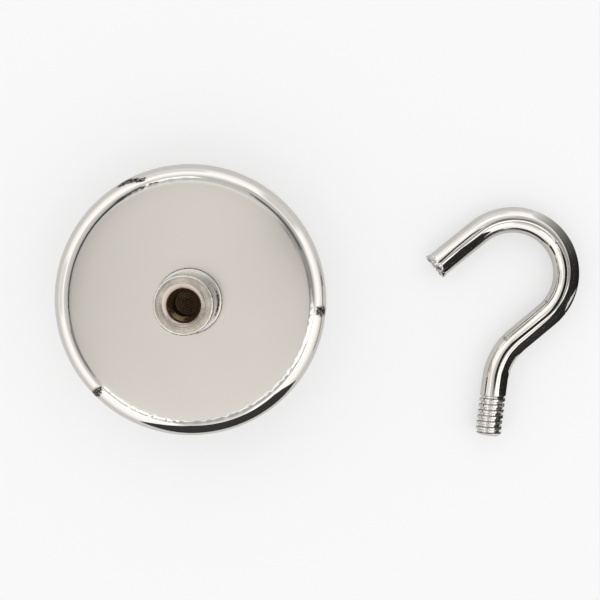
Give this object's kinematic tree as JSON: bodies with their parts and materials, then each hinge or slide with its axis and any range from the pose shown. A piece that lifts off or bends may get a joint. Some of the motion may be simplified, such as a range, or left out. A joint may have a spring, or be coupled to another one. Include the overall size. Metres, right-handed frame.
{
  "type": "magnet fishing magnet",
  "caption": "Round steel pot magnet with a tall threaded bush on its back, and a loose question-mark hook whose threaded shank screws into the bush.",
  "frame": {"origin": "centre of the magnet face, which is the face that holds on to steel", "axes": "+Z out of the pot's back, along the threaded bush; +X from the pot towards the loose hook"},
  "size_m": [0.1177, 0.0615, 0.03],
  "materials": {
    "pot_nickel": "polished nickel plate",
    "bush_nickel": "turned steel, nickel plated",
    "magnet_nickel": "satin nickel plate",
    "glue": "cured glue",
    "resin": "cast epoxy resin",
    "hook_nickel": "polished nickel plate"
  },
  "bodies": {
    "pot": {"pot_cup": "pot_nickel", "threaded_bush": "bush_nickel", "magnet_disc": "magnet_nickel", "glue_film": "glue", "resin_ring": "resin"},
    "hook": {"hook": "hook_nickel"}
  },
  "joints": [
    {"name": "hook_lift", "type": "slide", "parent": "pot", "child": "hook", "axis": [0, 0, 1], "range_m": [0, 0.06]}
  ]
}
